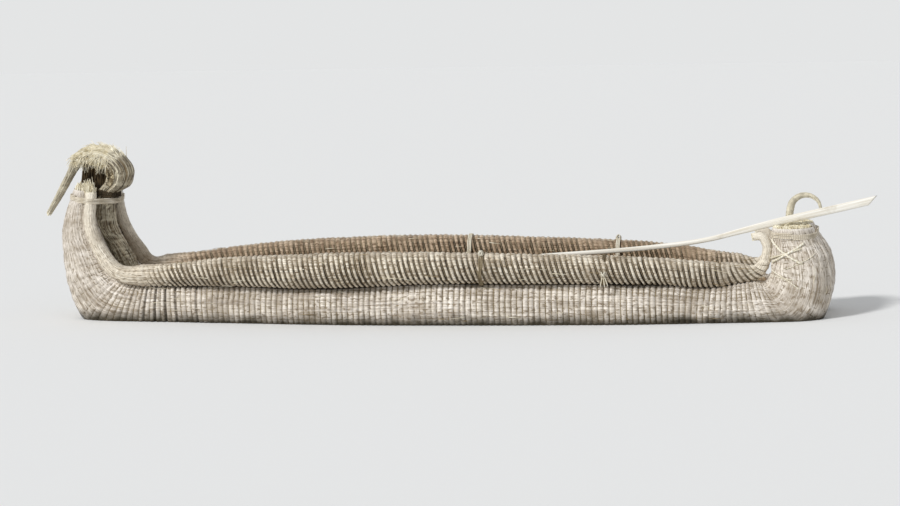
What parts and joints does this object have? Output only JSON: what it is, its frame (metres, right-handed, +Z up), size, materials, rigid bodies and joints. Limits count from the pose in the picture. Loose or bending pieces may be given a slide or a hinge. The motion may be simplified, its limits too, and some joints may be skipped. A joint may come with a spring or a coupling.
{
  "type": "reed boat",
  "caption": "Totora reed boat of lashed bundles with gunwale rolls, upswept prow with a hooked figurehead, blunt stern with a curled tail, and a wooden oar laid on top.",
  "frame": {"origin": "amidships on the centreline, in the plane of the water that the boat floats in", "axes": "+X towards the bow, +Y to port, +Z up"},
  "size_m": [5.9905, 1.293, 1.3889],
  "materials": {
    "hull_reed": "weathered totora reed, bound",
    "roll_reed": "weathered totora reed, bound",
    "floor_reed": "weathered totora reed, bound",
    "head_reed": "dry totora reed, frayed",
    "rope": "twisted grass rope",
    "oar_wood": "bare, sun-bleached"
  },
  "bodies": {
    "root": {"port_hull_bundle": "hull_reed", "starboard_hull_bundle": "hull_reed", "port_roll_stern": "roll_reed", "port_roll_aft": "roll_reed", "port_roll_fore": "roll_reed", "port_roll_bow": "roll_reed", "starboard_roll_stern": "roll_reed", "starboard_roll_aft": "roll_reed", "starboard_roll_fore": "roll_reed", "starboard_roll_bow": "roll_reed", "heart_bundle": "floor_reed", "figurehead": "head_reed", "stern_tail": "head_reed", "oar": "oar_wood", "port_roll_ties": "rope", "starboard_roll_ties": "rope", "neck_lashing": "rope", "stern_lashing": "rope"}
  },
  "joints": []
}
